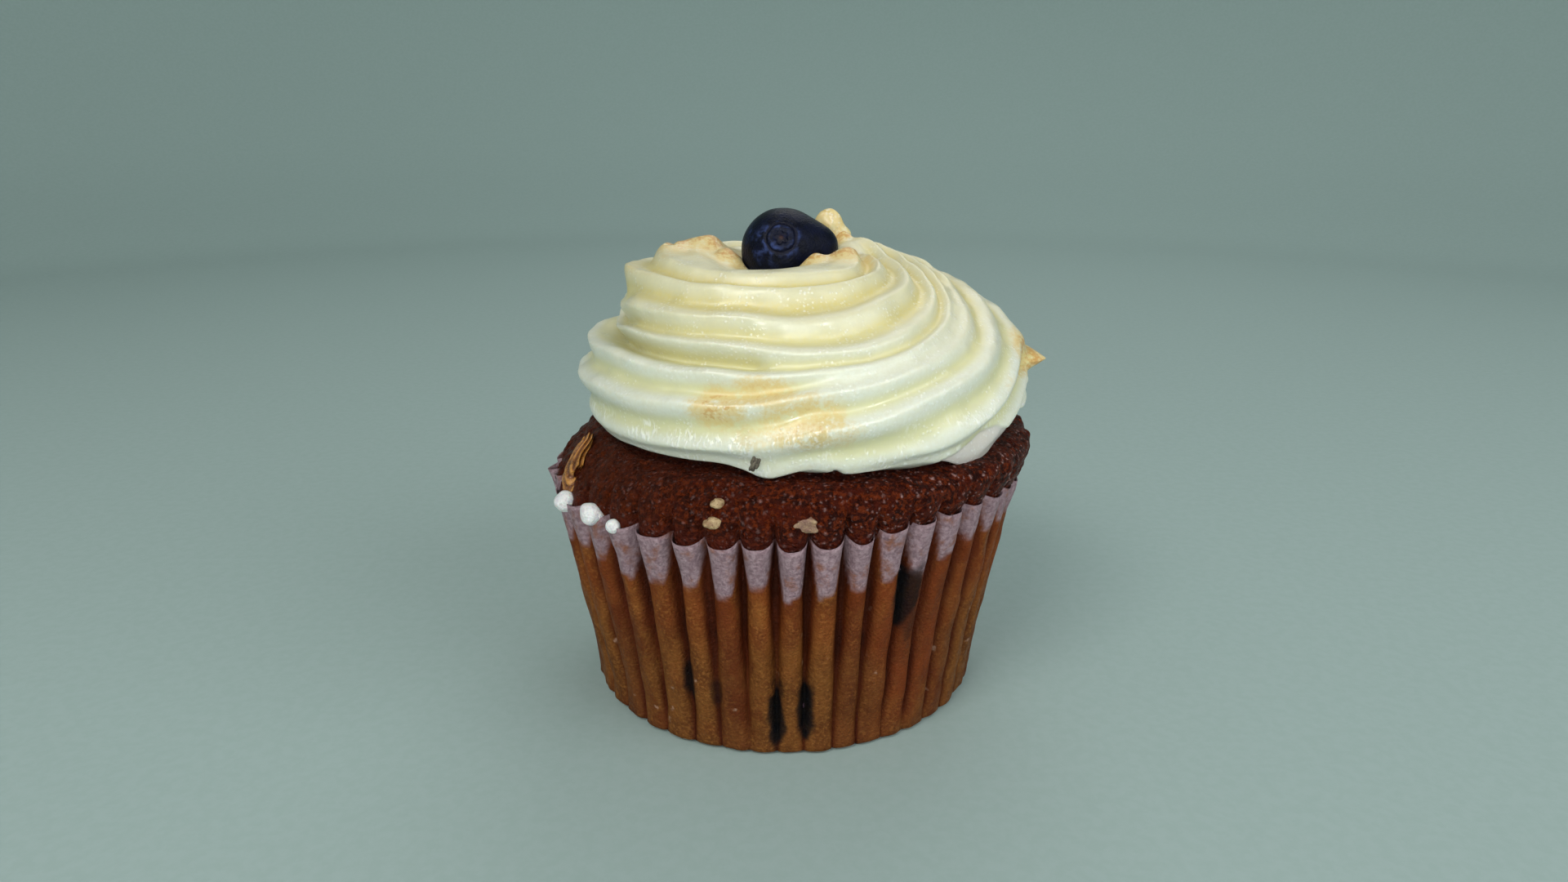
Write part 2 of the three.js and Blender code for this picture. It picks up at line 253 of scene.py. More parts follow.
soaked_side = bell(turned(ring_angle, np.radians(304)), 0.2) * bell(ring_height - 14 * MM, 9 * MM)
soaked_side = swell(1.6 * soaked_side + 0.4 * lumps(case_rings, 3 * MM, 23))
paper_case = shell(
    "paper_case_fluted",
    case_rings,
    (0, 0, 0),
    (0, 0, PAPER),
    crease=(1 - ring_lobe**0.8) * (0.95 + 0.4 * lumps(case_rings, 5 * MM, 19)),
    free_edge=free_edge,
    wet=np.maximum(swell((ring_share - 0.35) / 0.45), soaked_side),
    tone=np.maximum(flute_tones[ring_flute], 1.5 * soaked_side),
    stain=stain,
)


def put(tree, kind, inputs, **settings):
    """Adds a node. Inputs give its sockets, by name or number, a value or the output that feeds them."""
    node = tree.nodes.new(kind)
    for setting, value in settings.items():
        setattr(node, setting, value)
    for socket, value in inputs.items():
        if isinstance(value, bpy.types.NodeSocket):
            tree.links.new(value, node.inputs[socket])
        else:
            node.inputs[socket].default_value = value
    return node


def colour_mix(tree, share, first, second):
    """Blends two colours by a share, and gives the result's output."""
    return put(tree, "ShaderNodeMix", {0: share, 6: first, 7: second}, data_type="RGBA").outputs[2]


def sums(tree, operation, *values):
    """One step of arithmetic on values or outputs."""
    return put(tree, "ShaderNodeMath", dict(enumerate(values)), operation=operation).outputs[0]


def tinted(tree, mask, strength, colour, tint):
    """Blends a tint into a colour by a mask times a strength."""
    return colour_mix(tree, sums(tree, "MULTIPLY", mask, strength), colour, tint)


def stretch(tree, value, low, high, to_low=0.0, to_high=1.0):
    """Maps low to high onto another range, smoothly and clamped."""
    inputs = {"Value": value, "From Min": low, "From Max": high, "To Min": to_low, "To Max": to_high}
    return put(tree, "ShaderNodeMapRange", inputs, interpolation_type="SMOOTHSTEP").outputs[0]


def mask_of(tree, name):
    """Reads one of the piece's own attributes."""
    return put(tree, "ShaderNodeAttribute", {}, attribute_name=name).outputs["Fac"]


def rgb(red, green, blue):
    """A colour from its screen values out of 255, as the linear values that materials take."""
    return (*(((np.array([red, green, blue]) / 255 + 0.055) / 1.055) ** 2.4).tolist(), 1)


def effect(name, sockets, output):
    """An empty node group with float inputs, given with their first values, and one float output."""
    group = bpy.data.node_groups.new(name, "ShaderNodeTree")
    for socket, value in sockets.items():
        given = group.interface.new_socket(socket, in_out="INPUT", socket_type="NodeSocketFloat")
        given.default_value = value
    group.interface.new_socket(output, in_out="OUTPUT", socket_type="NodeSocketFloat")
    return group, group.nodes.new("NodeGroupInput"), group.nodes.new("NodeGroupOutput")


# Clouds: noise in grains of one size, cut between a low and a high level.
cloud_sockets = {"Size": 0.001, "Low": 0.35, "High": 0.65, "Flatten": 1.0, "Detail": 5.0}
mottle, given, result = effect("mottle", cloud_sockets, "Mask")
spot = put(mottle, "ShaderNodeTexCoord", {}).outputs["Object"]
squeeze = put(mottle, "ShaderNodeCombineXYZ", {0: 1.0, 1: 1.0, 2: given.outputs["Flatten"]}).outputs[0]
spot = put(mottle, "ShaderNodeVectorMath", {0: spot, 1: squeeze}, operation="MULTIPLY").outputs[0]
frequency = sums(mottle, "DIVIDE", 1.0, given.outputs["Size"])
cloud = put(mottle, "ShaderNodeTexNoise", {"Vector": spot, "Scale": frequency, "Roughness": 0.6})
mottle.links.new(given.outputs["Detail"], cloud.inputs["Detail"])
value = stretch(mottle, cloud.outputs[0], given.outputs["Low"], given.outputs["High"])
mottle.links.new(value, result.inputs[0])

# Specks: dots in the middle of some cells of one size, their outlines wobbled by noise.
specks, given, result = effect("specks", {"Size": 0.001, "Share": 0.3, "Radius": 0.3}, "Mask")
spot = put(specks, "ShaderNodeTexCoord", {}).outputs["Object"]
frequency = sums(specks, "DIVIDE", 1.0, given.outputs["Size"])
spot = put(specks, "ShaderNodeVectorMath", {0: spot, "Scale": frequency}, operation="SCALE").outputs[0]
wobble = put(specks, "ShaderNodeTexNoise", {"Vector": spot, "Scale": 2.5, "Detail": 2.0}).outputs["Color"]
wobble = put(specks, "ShaderNodeVectorMath", {0: wobble, "Scale": 0.6}, operation="SCALE").outputs[0]
spot = put(specks, "ShaderNodeVectorMath", {0: spot, 1: wobble}, operation="ADD").outputs[0]
cells = put(specks, "ShaderNodeTexVoronoi", {"Vector": spot, "Scale": 1.0})
cell_colour = put(specks, "ShaderNodeSeparateColor", {0: cells.outputs["Color"]})
chosen = sums(specks, "LESS_THAN", cell_colour.outputs[0], given.outputs["Share"])
dot = stretch(specks, cells.outputs["Distance"], given.outputs["Radius"], 0.02)
specks.links.new(sums(specks, "MULTIPLY", chosen, dot), result.inputs[0])


def mottled(tree, size, low=0.35, high=0.65, flatten=1.0, detail=5.0):
    """A cloudy mask of one grain size and detail; flatten below 1 draws it out into upright streaks."""
    inputs = {"Size": size, "Low": low, "High": high, "Flatten": flatten, "Detail": detail}
    return put(tree, "ShaderNodeGroup", inputs, node_tree=mottle).outputs[0]


def speckled(tree, size, share, radius):
    """A mask of round specks, one in some of the cells of one size."""
    inputs = {"Size": size, "Share": share, "Radius": radius}
    return put(tree, "ShaderNodeGroup", inputs, node_tree=specks).outputs[0]


def new_material(name):
    """An empty material with a Principled shader; gives the material, its tree and the shader."""
    material = bpy.data.materials.new(name)
    material.use_nodes = True
    return material, material.node_tree, material.node_tree.nodes["Principled BSDF"]


def feed(tree, shader, **inputs):
    """Feeds the shader's sockets, with spaces in their names written as underscores."""
    for socket, value in inputs.items():
        socket = shader.inputs[socket.replace("_", " ")]
        if isinstance(value, bpy.types.NodeSocket):
            tree.links.new(value, socket)
        else:
            socket.default_value = value


def bumped(tree, shader, height, distance):
    """Lets a height in units of distance roughen the shader's normal."""
    bump = put(tree, "ShaderNodeBump", {"Height": height, "Distance": distance, "Strength": 1.0})
    tree.links.new(bump.outputs[0], shader.inputs["Normal"])


case_paper, tree, shader = new_material("case_paper")
golden = colour_mix(tree, mottled(tree, 2.6 * MM, flatten=0.4), rgb(138, 84, 36), rgb(98, 54, 22))
golden = colour_mix(tree, mottled(tree, 0.4 * MM, 0.45, 0.7), golden, rgb(160, 104, 50))
wet = mask_of(tree, "wet")
golden = colour_mix(tree, stretch(tree, wet, 0, 1, 0.4, 0.0), golden, rgb(84, 50, 22))
golden = colour_mix(tree, stretch(tree, mask_of(tree, "tone"), 0.3, 1.5, 0.0, 0.75), golden, rgb(88, 38, 18))
wetter = sums(tree, "MULTIPLY", wet, mottled(tree, 3.5 * MM, 0.25, 0.6, 0.6))
golden = tinted(tree, wetter, 0.75, golden, rgb(120, 54, 20))
# Painted shade: the creases are darkened in two steps towards black-brown.
crease = sums(tree, "MULTIPLY", mask_of(tree, "crease"), stretch(tree, wet, 0, 1, 0.62, 1.0))
soaked = colour_mix(tree, stretch(tree, crease, 0.06, 0.55, 0.0, 0.95), golden, rgb(72, 26, 6))
soaked = colour_mix(tree, stretch(tree, crease, 0.45, 0.9, 0.0, 0.75), soaked, rgb(42, 13, 2))
soaked = tinted(tree, mottled(tree, 6 * MM, 0.5, 0.66, 0.6), 0.6, soaked, rgb(88, 34, 12))
lilac = colour_mix(tree, mottled(tree, 0.5 * MM, 0.3, 0.7), rgb(166, 142, 148), rgb(128, 103, 110))
lilac = colour_mix(tree, mottled(tree, 2.2 * MM, 0.52, 0.72), lilac, rgb(136, 90, 74))
dry = colour_mix(tree, mask_of(tree, "free_edge"), soaked, lilac)
flecks = sums(tree, "MULTIPLY", speckled(tree, 2.6 * MM, 0.4, 0.17), stretch(tree, wet, 0, 1, 0.8, 0.0))
flecked = colour_mix(tree, flecks, dry, rgb(170, 134, 112))
juice = colour_mix(tree, mottled(tree, 0.8 * MM), rgb(7, 8, 13), rgb(18, 13, 10))
stained = colour_mix(tree, mask_of(tree, "stain"), flecked, juice)
fibres = sums(tree, "ADD", mottled(tree, 0.35 * MM, 0.2, 0.8), mottled(tree, 1.6 * MM, 0.2, 0.8, 0.35))
feed(tree, shader, Base_Color=stained, Roughness=stretch(tree, mottled(tree, 1.2 * MM), 0, 1, 0.42, 0.62))
feed(tree, shader, Specular_IOR_Level=0.07)
bumped(tree, shader, fibres, 0.12 * MM)
finished(paper_case, case_paper, "case_paper", "paper_case")

# ---- Cake ----
# One cake, baked in the case to a firm dark crust. It filled the flutes, rose above the rim and leans: low
# on the -X side, bulging over the rim on the +X side. Its bright specks are oil, sugar and painted glints.
CAKE_COLUMNS = 720
CAKE_INSIDE_CASE = 0.35 * MM  # from the paper's outer face in to the cake's hidden wall
CAKE_FOOT = 0.3 * MM
CRUST_BELOW_RIM = 0.5 * MM
SHOULDER_HEIGHT = 35.4 * MM
CROWN_SUNK = 0.4 * MM
CROWN_RISE = 4.0 * MM
# The crust from the rim to the shoulder: radius and lean towards +X in mm, share of the flutes' relief.
CRUST = [(29.75, 0, 1), (30.1, 0.9, 0.5), (29.75, 1.9, 0.14)]
CRUST += [(28.8, 2.7, 0), (27.3, 3.0, 0), (25.4, 3.05, 0)]


def through(points, t):
    """A smooth curve through points, t from 0 to 1: a Catmull-Rom cubic on each of equal stretches of t."""
    points = np.asarray(points, float)
    spans = len(points) - 1
    place = np.clip(t, 0, 1) * spans
    start = np.minimum(place.astype(int), spans - 1)
    w = (place - start)[..., None]
    padded = np.concatenate([2 * points[:1] - points[1:2], points, 2 * points[-1:] - points[-2:-1]])
    a, b, c, d = (padded[start + k] for k in range(4))
    return 0.5 * (2 * b + (c - a) * w + (2 * a - 5 * b + 4 * c - d) * w**2 + (3 * b - a - 3 * c + d) * w**3)


def crust_point(angle, share):
    """The crust: a radius leaning with the angle's cosine, less the flutes, rising from rim to shoulder."""
    radius, lean, fluting = np.moveaxis(through(CRUST, share), -1, 0)
    side = np.cos(angle)
    relief = 2.4 * MM * fluting * (1 - lobe(angle, 1.0))
    radius = (radius + lean * (side - 0.12 * side**2)) * MM - relief
    rise = np.sin(share * np.pi / 2) ** 0.9
    drawn_in = 0.9 * MM * bell(turned(angle, np.pi), 0.7) * np.sin(share * np.pi)
    rim = rim_height(angle)
    return polar(radius - drawn_in, angle, rim - CRUST_BELOW_RIM + (SHOULDER_HEIGHT - rim) * rise)


around = whole_turn(CAKE_COLUMNS)
wall_shares = np.linspace(0.02, 0.97, 20)[:, None]
hidden_radius = case_radius(around, wall_shares) - CAKE_INSIDE_CASE
hidden_wall = polar(hidden_radius, around, wall_shares * rim_height(around))
crust = crust_point(around, np.linspace(0, 1, 64)[:, None])
shoulder = crust[-1]
inward = np.linspace(0.97, 0.1, 14)[:, None, None]
crown = shoulder * inward
crown[..., 2] = SHOULDER_HEIGHT - CROWN_SUNK + CROWN_RISE * (1 - inward[..., 0] ** 2)
underneath = hidden_wall[0] * np.array([0.5, 0.98])[:, None, None]
underneath[..., 2] = CAKE_FOOT
cake_rings = np.concatenate([underneath, hidden_wall, crust, crown])
crumbly = 0.3 * lumps(cake_rings, 3.4 * MM, 5) + 0.22 * lumps(cake_rings, 1.2 * MM, 6)
crumbly = crumbly + 0.17 * lumps(cake_rings, 0.65 * MM, 7)
bare = np.zeros(len(cake_rings))
bare[len(underneath) + len(hidden_wall) + 1 :] = 1
outwards = polar(0.8, np.arctan2(cake_rings[..., 1], cake_rings[..., 0]), 0.6)
cake_rings = cake_rings + (crumbly * MM * bare[:, None])[..., None] * outwards
cake_height = cake_rings[..., 2]
cake_angle = np.arctan2(cake_rings[..., 1], cake_rings[..., 0])
# The bright specks, partly sugar and partly painted glints: more towards +X, fewer towards -X.
more_sugar = 0.66 * bell(turned(cake_angle, np.radians(325)), 0.7)
less_sugar = 0.14 * bell(turned(cake_angle, np.pi), 1)
cake = shell(
    "cake_baked",
    cake_rings,
    (0, 0, CAKE_FOOT),
    (0, 0, SHOULDER_HEIGHT - CROWN_SUNK + CROWN_RISE),
    left_side=bell(turned(cake_angle, np.radians(205)), 0.75),
    # Partly syrup, partly painted shadow under the frosting's edge.
    syrup=swell((cake_height - 34.2 * MM) / (1.6 * MM)),
    rim_side=swell((30.5 * MM - cake_height) / (2.0 * MM)),
    sugary=0.26 + more_sugar - less_sugar,
)

cake_crumb, tree, shader = new_material("cake_crumb")
crust_colour = colour_mix(tree, mottled(tree, 1.9 * MM, 0.38, 0.66), rgb(42, 9, 3), rgb(80, 23, 8))
crust_colour = colour_mix(tree, mottled(tree, 0.5 * MM, 0.46, 0.62), crust_colour, rgb(114, 45, 17))
crust_colour = colour_mix(tree, mottled(tree, 0.7 * MM, 0.56, 0.7), crust_colour, rgb(32, 6, 2))
smooth_crust = colour_mix(tree, mottled(tree, 0.6 * MM), rgb(98, 41, 13), rgb(54, 17, 4))
crust_colour = tinted(tree, mask_of(tree, "left_side"), 0.75, crust_colour, smooth_crust)
# Painted shadow, partly syrup: the crust darkens under the frosting's edge.
crust_colour = tinted(tree, mask_of(tree, "syrup"), 0.6, crust_colour, rgb(58, 22, 12))
crust_colour = tinted(tree, mask_of(tree, "rim_side"), 0.5, crust_colour, rgb(90, 34, 24))
# Bright specks, partly sugar and partly painted glints.
sugar = sums(tree, "ADD", speckled(tree, 0.9 * MM, 0.5, 0.38), speckled(tree, 0.55 * MM, 0.5, 0.38))
sugar = sums(tree, "MULTIPLY", sugar, mottled(tree, 3 * MM, 0.3, 0.55))
crust_colour = tinted(tree, sugar, mask_of(tree, "sugary"), crust_colour, rgb(206, 164, 160))
pits = mottled(tree, 0.42 * MM, 0.25, 0.75)
feed(tree, shader, Base_Color=crust_colour, Specular_IOR_Level=0.08)
feed(tree, shader, Roughness=stretch(tree, mottled(tree, 0.9 * MM), 0, 1, 0.22, 0.5))
bumped(tree, shader, sums(tree, "ADD", pits, sugar), 0.4 * MM)
finished(cake, cake_crumb, "cake_crumb", "cake")

# ---- Blueberries baked into the cake ----
# Whole blueberries stirred into the batter. Those that touched the case burst in the oven and lie flattened
# against the paper, where their juice shows through.
BERRY_INSIDE_PAPER = 0.3 * MM


def ball(rows, columns):
    """Directions over a sphere in rings from its lowest to its highest point, and their polar angles."""
    down = np.linspace(np.pi, 0, rows + 2)[1:-1, None]
    spin = whole_turn(columns)
    return polar(np.sin(down), spin, np.cos(down) + 0 * spin), down


def pebble(name, rings, **masks):
    """A shell whose end rings are closed on their own middles."""
    return shell(name, rings, rings[0].mean(0), rings[-1].mean(0), **masks)


def nodes_named(start):
    """The CAD nodes whose names begin with start, in order."""
    return sorted(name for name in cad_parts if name.startswith(start))


def room_of(node):
    """The middle of a CAD node's box and its half size each way."""
    lowest, highest = (np.array(corner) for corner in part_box(node))
    return (lowest + highest) / 2, (highest - lowest) / 2


def grainy(tree, shader, colour, patches, glossiest, dullest, grain, height):
    """Feeds a colour, a roughness that wanders between two values in patches of one size, and a fine bump
    with grains of one size and height."""
    gloss = stretch(tree, mottled(tree, patches), 0, 1, glossiest, dullest)
    feed(tree, shader, Base_Color=colour, Roughness=gloss)
    bumped(tree, shader, mottled(tree, grain, 0.2, 0.8), height)


baked_berry, tree, shader = new_material("baked_blueberry")
skin = colour_mix(tree, mottled(tree, 1.0 * MM), rgb(30, 18, 34), rgb(52, 22, 40))
grainy(tree, shader, skin, 0.6 * MM, 0.2, 0.4, 0.5 * MM, 0.15 * MM)
for node in nodes_named("baked_blueberry"):
    middle, half_size = room_of(node)
    directions, _ = ball(30, 48)
    berry_points = middle + directions * half_size * 0.97
    berry_points = berry_points + directions * 0.3 * MM * lumps(berry_points, 1.6 * MM, 21)[..., None]
    # Where it met the case it was held in by the paper.
    berry_angle = np.arctan2(berry_points[..., 1], berry_points[..., 0])
    berry_reach = np.hypot(berry_points[..., 0], berry_points[..., 1])
    wall_reach = case_radius(berry_angle, berry_points[..., 2] / RIM_HEIGHT) - BERRY_INSIDE_PAPER
    held = np.minimum(1, wall_reach / berry_reach)
    berry_points[..., :2] = berry_points[..., :2] * held[..., None]
    finished(pebble(node + "_burst", berry_points), baked_berry, "baked_blueberry", node)

# ---- Nut pieces in the crust ----
# Chopped nuts from the batter that stopped at the surface and toasted. The one at the rim has a film of
# batter. The left one is drawn out along the crust into candied strands.
nut, tree, shader = new_material("nut")
kernel = colour_mix(tree, mottled(tree, 0.7 * MM), rgb(196, 168, 124), rgb(150, 116, 78))
kernel = colour_mix(tree, mottled(tree, 0.3 * MM, 0.55, 0.7), kernel, rgb(116, 66, 40))
film = sums(tree, "MULTIPLY", mask_of(tree, "film"), mottled(tree, 0.8 * MM, 0.2, 0.7))
kernel = colour_mix(tree, film, kernel, rgb(132, 96, 80))
grainy(tree, shader, kernel, 0.5 * MM, 0.35, 0.6, 0.25 * MM, 0.12 * MM)
for node in ("nut_piece_lower", "nut_piece_rim", "nut_piece_upper"):
    middle, half_size = room_of(node)
    directions, _ = ball(24, 40)
    chip = np.sign(directions) * np.abs(directions) ** 0.8 * half_size * 0.95
    chip = chip * (1 + 0.35 * lumps(directions, 0.8, len(node))[..., None])
    sunk_in = middle * np.array([0.986, 0.986, 1])
    piece = pebble(node + "_chip", sunk_in + chip, film=float(node.endswith("rim")))
    finished(piece, nut, "nut", node)


def unit(vectors):
    """The vectors, each scaled to a length of 1."""
    return vectors / np.linalg.norm(vectors, axis=-1, keepdims=True)


# The candied piece lies up the crust: a flat section carried along it, lobed by strands that twist slowly.
STRANDS = 9
STRANDS_HALF_WIDTH = 2.1 * MM
STRANDS_HALF_DEPTH = 0.7 * MM
STRANDS_AT = 210  # the angle in degrees of their lower end
along = np.linspace(0, 1, 90)
strand_angle = np.radians(STRANDS_AT - 13 * along**1.1)
strand_line = crust_point(strand_angle, 0.05 + 0.56 * along)
strand_way = unit(np.gradient(strand_line, axis=0))
strand_side = unit(np.cross(strand_way, polar(1, strand_angle, 0.5)))
strand_out = np.cross(strand_side, strand_way)
spin = whole_turn(112)
twist = STRANDS * spin + 7 * along[:, None] + 1.5 * np.sin(9 * along[:, None])
lobes = 1 + 0.16 * np.cos(twist)
taper = np.sqrt(np.clip(1 - np.abs(2 * along - 1) ** 2.6, 0.003, 1))[:, None] * lobes
sideways = strand_side[:, None] * (np.cos(spin) * STRANDS_HALF_WIDTH * taper)[..., None]
strand_rings = strand_line[:, None] + sideways
strand_rings = strand_rings + strand_out[:, None] * (np.sin(spin) * STRANDS_HALF_DEPTH * taper)[..., None]
strand_rings = strand_rings + 0.5 * MM * lumps(strand_rings, 1.6 * MM, 71)[..., None] * strand_side[:, None]
candied_nut = shell(
    "nut_piece_left_strands",
    strand_rings,
    strand_line[0],
    strand_line[-1],
    strand=0.5 + 0.5 * np.cos(twist),
)
candied, tree, shader = new_material("candied_nut")
strand_light = sums(tree, "MULTIPLY", mask_of(tree, "strand"), mottled(tree, 1.6 * MM, 0.3, 0.55))
glaze = colour_mix(tree, mottled(tree, 0.6 * MM), rgb(118, 62, 20), rgb(76, 34, 10))
glaze = colour_mix(tree, strand_light, glaze, rgb(198, 134, 56))
grainy(tree, shader, glaze, 0.8 * MM, 0.2, 0.42, 0.3 * MM, 0.1 * MM)
finished(candied_nut, candied, "nut", "nut_piece_left")

# ---- Frosting swirl ----
# One rope of cream cheese frosting, piped through a star nozzle in a spiral of about two turns, from the
# shoulder in. Each turn carries five ridges. It was tailed off behind the berry and lightly scorched on top.
SWIRL_COLUMNS = 480
SWIRL_ROWS = 196
SWIRL_OFFSET = 3.0 * MM  # the spiral was started off centre, towards +X
FROSTING_SUNK = 0.25 * MM
# The mean outline, radius and height in mm, from the lower edge over the top to the hollow's middle.
OUTLINE = [(27.0, 35.9), (28.1, 38.2), (28.5, 41.3), (27.4, 44.8), (25.0, 48.2), (22.2, 51.0)]
OUTLINE += [(18.8, 53.3), (15.6, 54.6), (11.5, 55.2), (7.2, 54.9), (3.6, 54.0), (0.0, 53.4)]
# Each ridge's distance in mm up the outline, from the -X side round by the front to the -X side again.
RIDGE_ANGLES = np.radians([180, 215, 250, 270, 290, 305, 320, 335, 350, 380, 450, 540])
RIDGES = np.array([
    [-12.0, -12.0, -11.0, -10.0, -9.0, -8.0, -6.0, -3.0, 1.6, 3.4, 5.0, 6.2],
    [-9.5, -9.5, -9.0, -8.0, -6.5, -5.0, -3.0, 0.2, 4.4, 7.0, 8.8, 10.4],
    [-7.5, -7.0, -6.5, -5.0, -3.0, -0.8, 1.6, 4.4, 8.0, 11.4, 13.0, 14.0],
    [-4.0, -3.5, -3.0, -1.5, 0.6, 3.2, 6.0, 9.4, 13.2, 14.6, 15.6, 16.8],
    [0.5, 1.0, 2.8, 5.0, 7.2, 9.0, 11.6, 14.2, 17.5, 18.8, 20.0, 20.8],
    [6.2, 6.7, 7.6, 9.0, 10.8, 12.4, 14.9, 18.2, 21.6, 24.0, 25.2, 26.0],
    [10.4, 10.6, 10.8, 11.4, 12.6, 14.3, 16.9, 20.3, 23.8, 26.4, 27.6, 28.4],
    [14.0, 14.4, 14.3, 13.6, 14.4, 16.2, 18.8, 22.4, 25.8, 28.6, 30.4, 32.0],
    [16.8, 17.5, 18.0, 17.6, 18.4, 20.2, 22.4, 25.3, 28.2, 31.0, 33.4, 36.0],
    [20.8, 22.5, 22.8, 22.7, 23.0, 24.4, 26.5, 29.0, 31.6, 34.5, 37.0, 40.0],
    [26.0, 26.2, 26.2, 26.2, 26.2, 27.2, 29.6, 32.2, 35.0, 38.5, 41.0, 44.0],
])
RIDGE_RELIEF = 1.1 * MM
SEAM_UP = 13.0 * MM  # up the outline, where the upper turn lies on the lower one
SEAM_DEPTH = 1.5 * MM
STEP_BACK = 1.9 * MM  # of the upper turn from the lower one, on the -X side
DRAWN_IN = 1.6 * MM  # low down on the +X side
ROPE_END_DEPTH = 0.5 * MM
# How far in mm the lower edge rises or sags, at angles in degrees.
EDGE = [(150, 0.3), (189, 0.1), (215, 0.1), (242, 0.5), (249, 0.7), (255, 0.0), (259, -0.9), (263, -0.4)]
EDGE += [(267.5, 0.35), (271, 0.5), (274.5, 0.0), (278, -0.25), (284, 0.05), (291, 0.35), (299, 0.2)]
EDGE += [(304, -0.5), (308, -1.4), (314, -2.0), (319.5, -1.6), (325, -0.5), (338, 0.2), (352, 0.3)]
EDGE += [(375, 0.5), (400, -0.2), (435, 0.4), (470, -0.3), (510, 0.3)]
# How high in mm the rope's first end shows under the turn laid over it, at angles in degrees.
ROPE_END = [(272, -1), (275.5, 0.6), (279, -1), (299, -1), (302, 0.3), (308, 1.9)]
ROPE_END += [(314, 2.9), (320, 3.0), (325, 2.3), (338, 2.2), (350, 1.8), (358, -1)]
PEAK_AT = np.radians(348.5)  # where the nozzle was jerked and left a pulled-out tip
PEAK_UP = 8.2 * MM
PEAK_REACH = 2.7 * MM
SMALL_TIPS = [(352, 5.2, 1.1), (356, 2.6, 0.9)]  # angle in degrees, distance up and reach in mm
BERRY_AT = np.array([-0.1, 0.0, 55.9]) * MM
NEST_GAP = 0.12 * MM
SCORCHED_RADIUS = 27 * MM  # the swirl's radius at the scorched patches
# Scorched patches: angle in degrees, distance up the outline, half width and half height in mm, strength.
SCORCHES = [
    (249.0, 7.4, 3.0, 2.2, 1.15),
    (259.0, 9.4, 3.4, 1.7, 1.0),
    (268.0, 6.4, 4.4, 2.8, 1.0),
    (257.0, 4.8, 2.6, 1.8, 0.5),
    (276.0, 5.0, 2.4, 1.8, 0.5),
    (345.5, 9.2, 4.4, 2.6, 1.6),
    (325.0, 7.4, 1.6, 1.4, 0.3),
]
# Lumps of cream round the hollow: x, y, rise and spread in mm.
CREAM_LUMPS = [
    (7.4, 5.6, 1.6, 1.7),
    (-9.2, 2.6, 2.0, 2.6),
    (-6.6, -1.0, 1.2, 1.9),
    (-13.4, 2.0, 0.9, 2.6),
    (3.6, -6.4, 1.5, 1.5),
    (7.0, -5.6, 1.8, 2.2),
    (9.0, 2.4, 1.7, 3.6),
    (-3.6, -7.2, -1.2, 4.5),
]

outline_fine = through(OUTLINE, np.linspace(0, 1, 600)) * MM
outline_steps = np.hypot(*np.diff(outline_fine, axis=0).T)
outline_distance = np.concatenate([[0], np.cumsum(outline_steps)])
outline_slope = np.gradient(outline_fine, outline_distance, axis=0)

around = whole_turn(SWIRL_COLUMNS)
row_shares = np.linspace(0, 1, SWIRL_ROWS)[:, None]
up = np.interp(row_shares, [0, 0.8, 1], [0, 30 * MM, outline_distance[-1] - 0.4 * MM]) + 0 * around


def ridge_lines(angle):
    """Each ridge's distance up the outline at each angle, rounded off by a sliding mean."""
    unwound = (angle - np.pi) % TURN + np.pi + np.radians(np.linspace(-9, 9, 7))[:, None]
    return np.array([np.interp(unwound, RIDGE_ANGLES, ridge * MM).mean(0) for ridge in RIDGES])


def ridge_count(distance, lines):
    """A count that is whole on each ridge and runs evenly from ridge to ridge: clamped shares, summed."""
    gaps = np.diff(lines, axis=0)
    shares = [np.clip((distance - low) / gap, 0, 1) for low, gap in zip(lines[:-1], gaps)]
    return np.sum(shares, axis=0)


lines = ridge_lines(around)
wander = 0.35 * MM * lumps(polar(28 * MM + 0 * up, around, up), 7 * MM, 31)
count = ridge_count(up + wander, lines)
valley = np.sin(np.pi * count) ** 2
# The innermost ridges die away behind the berry before they come round to the -X side.
valley = valley * (1 - swell((up - 25.5 * MM) / (2 * MM)) * swell(1 - np.abs(around - np.pi) / 1.1))
inside_lines = swell((up - lines[0]) / (2 * MM))
# One valley is shallow across the front, where the turns ran together.
faint_reach = swell((around - np.radians(262)) / 0.3) * swell((np.radians(352) - around) / 0.3)
faint = 1 - 0.75 * bell(count - 5.5, 0.7) * faint_reach
# The ridges fade at the lower edge and in the hollow, and stand out most on the -X side.
fade = swell(up / (3.2 * MM)) * swell((outline_distance[-1] - up - 8.5 * MM) / (3 * MM))
bolder = 1 + 0.35 * bell(turned(around, np.radians(188)), 0.45)
out = RIDGE_RELIEF * (0.45 - valley**0.85 * faint) * fade * inside_lines * bolder
# The crease where the upper turn lies on the lower one: deep on the -X side, gone at the front.
crease_reach = swell((np.radians(262) - around) / 0.12) * swell((around - np.radians(150)) / 0.5)
seam = bell(up - SEAM_UP, 0.75 * MM) * crease_reach
out = out - SEAM_DEPTH * seam
rope_end_up = np.interp(np.degrees(around), *np.transpose(ROPE_END)) * MM
rope_end = swell((rope_end_up - up) / (0.45 * MM) + 0.3)
out = out - ROPE_END_DEPTH * rope_end
step_back = swell((up - 11.3 * MM) / (1.6 * MM)) * swell((19.5 * MM - up) / (3.2 * MM))
out = out - STEP_BACK * step_back * bell(turned(around, np.radians(186)), 0.6)
out = out - DRAWN_IN * bell(up - 5.5 * MM, 5 * MM) * bell(turned(around, np.radians(2)), 0.6)

# Each point stands off the mean outline, square to it.
spot_r, spot_z, slope_r, slope_z = (
    np.interp(up, outline_distance, column)
    for column in (outline_fine[:, 0], outline_fine[:, 1], outline_slope[:, 0], outline_slope[:, 1])
)
swirl_r = spot_r + slope_z * out
swirl_z = spot_z - slope_r * out
